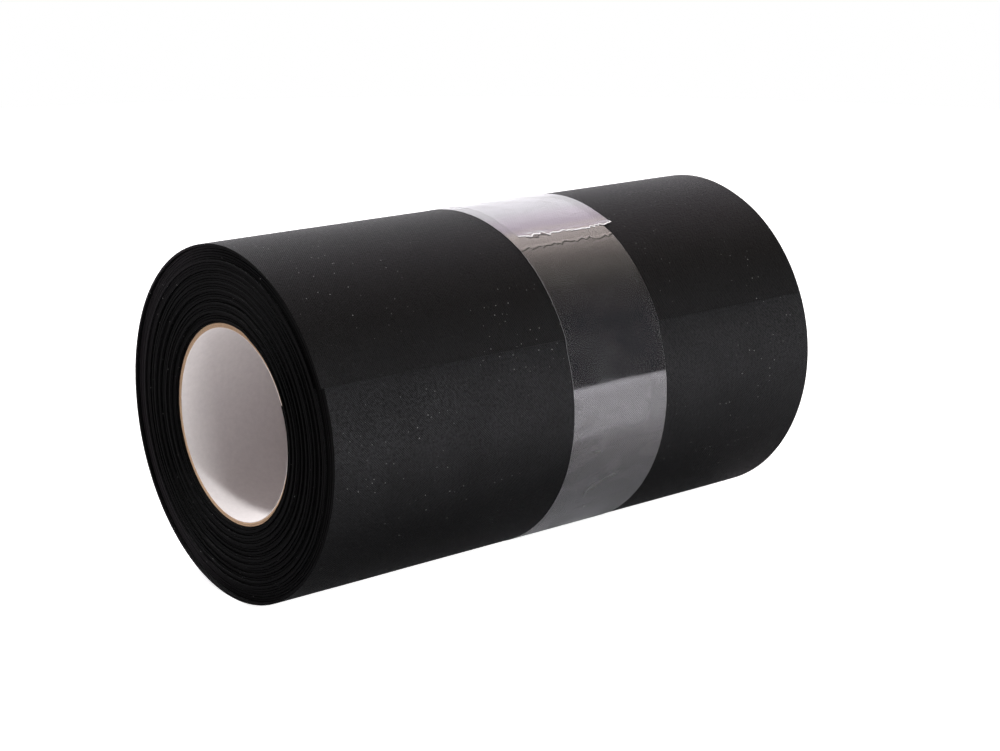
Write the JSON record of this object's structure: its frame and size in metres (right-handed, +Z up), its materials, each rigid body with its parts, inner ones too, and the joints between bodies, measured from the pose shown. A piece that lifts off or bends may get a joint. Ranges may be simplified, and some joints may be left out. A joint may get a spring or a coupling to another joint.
{
  "type": "roll of rubber membrane",
  "caption": "Black rubber sealing membrane wound on a paper core and lying on its side, its free end held by a band of clear packing tape",
  "frame": {"origin": "on the floor, under the middle of the roll's box", "axes": "+X along the roll's axis, away from the end that the lap slid out of; +Z up; -Y the side on which the free end of the sheet ends"},
  "size_m": [0.2524, 0.1417, 0.1424],
  "materials": {
    "membrane": "satin",
    "core": "matte",
    "tape": "gloss"
  },
  "bodies": {
    "root": {"membrane": "membrane", "core": "core", "tape": "tape"}
  },
  "joints": []
}
